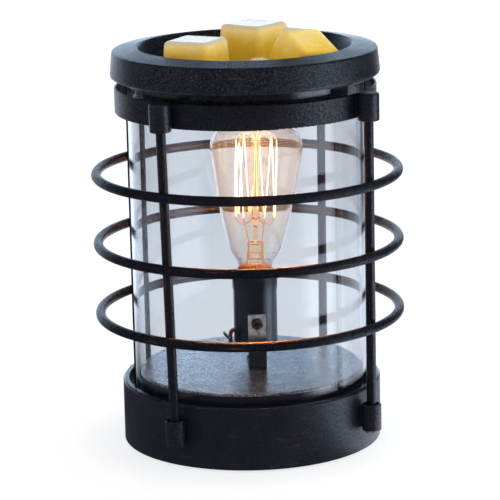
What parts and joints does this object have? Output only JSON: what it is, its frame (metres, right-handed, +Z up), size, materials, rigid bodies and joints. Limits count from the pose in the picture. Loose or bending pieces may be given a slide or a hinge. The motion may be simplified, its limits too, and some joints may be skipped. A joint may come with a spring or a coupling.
{
  "type": "wax warmer",
  "caption": "Wax warmer with a clear lamp bulb inside a wire-caged glass chimney, a metal dish with wax cubes on top and a round drum base.",
  "frame": {"origin": "centre of the footprint, on the surface that the rubber feet stand on", "axes": "+Z up; +X to the right and -Y to the front, as seen from the front; the four posts stand on the diagonals and the cord bushing is at the rear"},
  "size_m": [0.1456, 0.1456, 0.1972],
  "materials": {
    "bronze_paint": "satin, dark oil-rubbed bronze with copper flecks",
    "cover_paint": "satin black",
    "foot_rubber": "matte",
    "grommet_rubber": "matte",
    "chimney_glass": "clear gloss",
    "wax": "glossy translucent wax",
    "phenolic": "matte",
    "shell_brass": "bright",
    "zinc_plate": "zinc plated",
    "dark_screw": "dark plated",
    "lead_insulation": "satin",
    "black_strip": "satin",
    "nylon": "satin",
    "bulb_glass": "clear gloss",
    "black_insulator": "gloss",
    "solder": "bright",
    "stem_glass": "clear gloss",
    "support_wire": "drawn wire",
    "lead_wire": "drawn wire",
    "filament": "glowing carbon filament"
  },
  "bodies": {
    "stand": {"base_shell": "bronze_paint", "base_shell_rear": "bronze_paint", "base_groove": "bronze_paint", "base_deck": "bronze_paint", "deck_wall": "bronze_paint", "bottom_cover": "cover_paint", "cover_screws": "zinc_plate", "rubber_feet": "foot_rubber", "cord_grommet": "grommet_rubber", "post_front_left": "bronze_paint", "post_front_right": "bronze_paint", "post_rear_right": "bronze_paint", "post_rear_left": "bronze_paint", "lower_cap_front_left": "bronze_paint", "lower_cap_front_right": "bronze_paint", "lower_cap_rear_right": "bronze_paint", "lower_cap_rear_left": "bronze_paint", "upper_cap_front_left": "bronze_paint", "upper_cap_front_right": "bronze_paint", "upper_cap_rear_right": "bronze_paint", "upper_cap_rear_left": "bronze_paint", "hoop_upper": "bronze_paint", "hoop_middle": "bronze_paint", "hoop_lower": "bronze_paint", "top_band": "bronze_paint", "socket_body": "phenolic", "socket_collar": "phenolic", "socket_shell": "shell_brass", "socket_contact": "shell_brass", "socket_bracket": "zinc_plate", "bracket_screw": "dark_screw", "foot_screw": "zinc_plate", "foot_nut": "zinc_plate", "lead_bushing": "grommet_rubber", "lead_live": "lead_insulation", "lead_neutral": "lead_insulation", "lead_clip": "black_strip", "splice_cap_live": "nylon", "splice_cap_neutral": "nylon"},
    "glass": {"glass_chimney": "chimney_glass"},
    "dish": {"wax_dish": "bronze_paint", "dish_skirt": "bronze_paint"},
    "cube_left": {"wax_cube_left": "wax"},
    "cube_middle": {"wax_cube_middle": "wax"},
    "cube_right": {"wax_cube_right": "wax"},
    "cube_front": {"wax_cube_front": "wax"},
    "bulb_carrier": {"bulb_insulator": "black_insulator", "bulb_tip": "solder"},
    "bulb": {"bulb_envelope": "bulb_glass", "bulb_cap": "shell_brass", "bulb_stem": "stem_glass", "bulb_rod": "stem_glass", "bulb_hooks": "support_wire", "bulb_leads": "lead_wire", "bulb_filament": "filament"}
  },
  "joints": [
    {"name": "glass_lift", "type": "slide", "parent": "stand", "child": "glass", "axis": [0, 0, 1], "range_m": [0, 0.145]},
    {"name": "dish_lift", "type": "slide", "parent": "glass", "child": "dish", "axis": [0, 0, 1], "range_m": [0, 0.04]},
    {"name": "cube_left_lift", "type": "slide", "parent": "dish", "child": "cube_left", "axis": [0, 0, 1], "range_m": [0, 0.03]},
    {"name": "cube_middle_lift", "type": "slide", "parent": "dish", "child": "cube_middle", "axis": [0, 0, 1], "range_m": [0, 0.03]},
    {"name": "cube_right_lift", "type": "slide", "parent": "dish", "child": "cube_right", "axis": [0, 0, 1], "range_m": [0, 0.03]},
    {"name": "cube_front_lift", "type": "slide", "parent": "dish", "child": "cube_front", "axis": [0, 0, 1], "range_m": [0, 0.03]},
    {"name": "bulb_lift", "type": "slide", "parent": "stand", "child": "bulb_carrier", "axis": [0.029, -0.0062, 0.9996], "range_m": [0, 0.0089]},
    {"name": "bulb_turn", "type": "hinge", "parent": "bulb_carrier", "child": "bulb", "pos_m": [0.0024, -0.0004, 0.07], "axis": [0.029, -0.0062, 0.9996], "range_deg": [0, 1260]}
  ],
  "couplings": [
    {"joint": "bulb_lift", "follows": "bulb_turn", "m_per_rad": 0.00040425}
  ]
}
